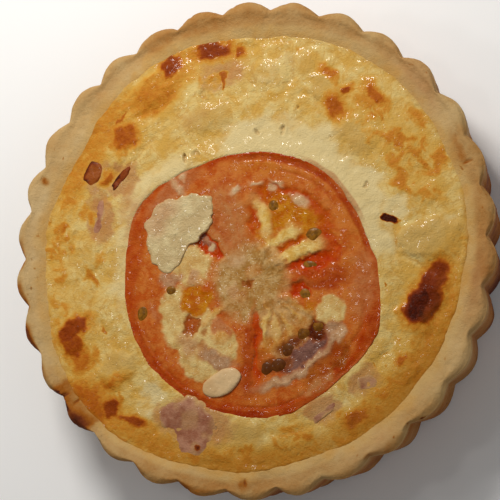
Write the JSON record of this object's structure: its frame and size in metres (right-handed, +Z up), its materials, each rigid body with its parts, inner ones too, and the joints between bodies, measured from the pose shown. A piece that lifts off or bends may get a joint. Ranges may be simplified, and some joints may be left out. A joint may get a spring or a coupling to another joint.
{
  "type": "quiche",
  "caption": "Individual quiche: fluted pastry case filled with browned egg custard, with a tomato slice, ham and melted cheese baked into its top.",
  "frame": {"origin": "middle of the flat underside, on the surface the quiche rests on", "axes": "+Z up through the filling; +Y towards the top of the quiche as it is seen from above, away from the tomato slice's off-centre side; +X to the right"},
  "size_m": [0.1194, 0.12, 0.0251],
  "materials": {
    "baked_pastry": "dry baked shortcrust",
    "egg_custard": "set egg custard, slightly oily",
    "tomato_flesh": "moist roasted tomato",
    "melted_cheese": "melted cheese",
    "golden_cheese": "smooth baked cheese",
    "baked_ham": "baked ham"
  },
  "bodies": {
    "root": {"pastry_case": "baked_pastry", "egg_custard": "egg_custard", "tomato_slice": "tomato_flesh", "melted_cheese": "melted_cheese", "cheese_nub": "golden_cheese", "ham_large": "baked_ham", "ham_right": "baked_ham", "ham_sliver": "baked_ham", "ham_left": "baked_ham", "ham_die": "baked_ham", "ham_crisp": "baked_ham"}
  },
  "joints": []
}
